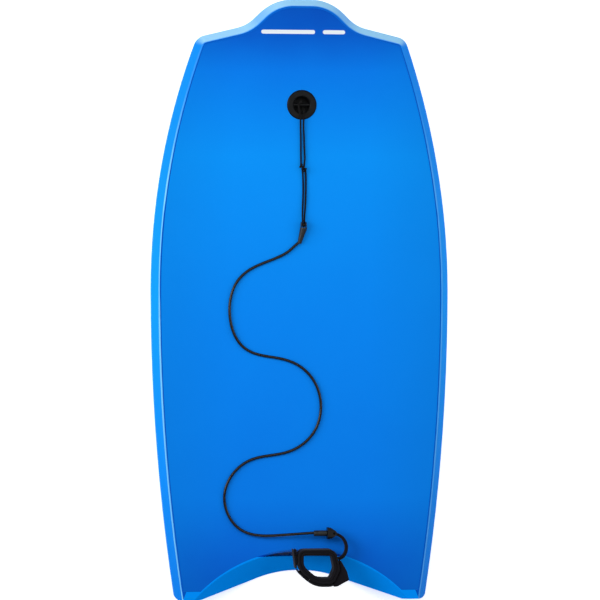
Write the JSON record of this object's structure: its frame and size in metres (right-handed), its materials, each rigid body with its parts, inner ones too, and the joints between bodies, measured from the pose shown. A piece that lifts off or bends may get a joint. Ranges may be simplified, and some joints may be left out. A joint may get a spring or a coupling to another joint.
{
  "type": "bodyboard with wrist leash",
  "caption": "Soft-deck bodyboard with a crescent tail, screwed leash plug, straight cord, swivel and a wrist cuff with a hook-and-loop flap.",
  "frame": {"origin": "bottom centre of the board: on the slick bottom, midway along the length, on the centreline", "axes": "+Y towards the nose, +X towards the board's right rail, +Z out of the deck"},
  "size_m": [0.456, 0.914, 0.0804],
  "materials": {
    "deck_foam": "closed-cell foam skin, satin",
    "rail_foam": "closed-cell foam strip, satin",
    "core_foam": "expanded bead foam",
    "slick": "smooth glossy sheet",
    "plug_plastic": "moulded, semi-gloss",
    "string": "braided polyester string",
    "urethane": "smooth extruded cord",
    "moulded_end": "soft moulding, satin",
    "steel": "stainless, turned",
    "swivel_plastic": "moulded, semi-gloss",
    "webbing": "woven nylon",
    "neoprene": "neoprene with nylon jersey",
    "hook_loop": "hook-and-loop tape"
  },
  "bodies": {
    "board": {"foam_core": "core_foam", "deck_skin": "deck_foam", "bottom_foam": "rail_foam", "slick_sheet": "slick", "rail_strip_left": "rail_foam", "rail_strip_right": "rail_foam", "nose_strip": "rail_foam", "tail_strip": "rail_foam", "plug_cup": "plug_plastic", "plug_bar": "plug_plastic", "plug_base": "plug_plastic"},
    "string": {"string_upper_loop": "string", "string_lower_loop": "string", "string_knot": "string"},
    "leash": {"horn_upper": "moulded_end", "cord": "urethane", "horn_lower": "moulded_end"},
    "swivel": {"swivel_pin": "steel", "swivel_body": "swivel_plastic", "swivel_crossbar": "steel"},
    "cuff": {"cuff_tab": "webbing", "cuff_strap": "neoprene", "cuff_lining": "neoprene", "strap_patch": "hook_loop", "strap_end": "webbing"},
    "flap": {"closure_flap": "neoprene", "flap_patch": "hook_loop", "pull_tab": "neoprene"}
  },
  "joints": [
    {"name": "string_swing", "type": "hinge", "parent": "board", "child": "string", "pos_m": [0, 0.2973, 0.04828], "axis": [-1, 0, 0], "range_deg": [0, 110]},
    {"name": "cord_lift", "type": "hinge", "parent": "string", "child": "leash", "pos_m": [0.0028, 0.1146, 0.0517], "axis": [-1, 0, 0], "range_deg": [0, 60]},
    {"name": "swivel_turn", "type": "hinge", "parent": "leash", "child": "swivel", "pos_m": [0.0374, -0.3545, 0.0614], "axis": [-1, 0, 0], "range_deg": [0, 90]},
    {"name": "cuff_swing", "type": "hinge", "parent": "swivel", "child": "cuff", "pos_m": [0.0475, -0.3545, 0.0614], "axis": [0, 0, 1], "range_deg": [-10, 60]},
    {"name": "flap_open", "type": "hinge", "parent": "cuff", "child": "flap", "pos_m": [-0.0095, -0.409, 0.0634], "axis": [0, 0, -1], "range_deg": [0, 100]}
  ]
}
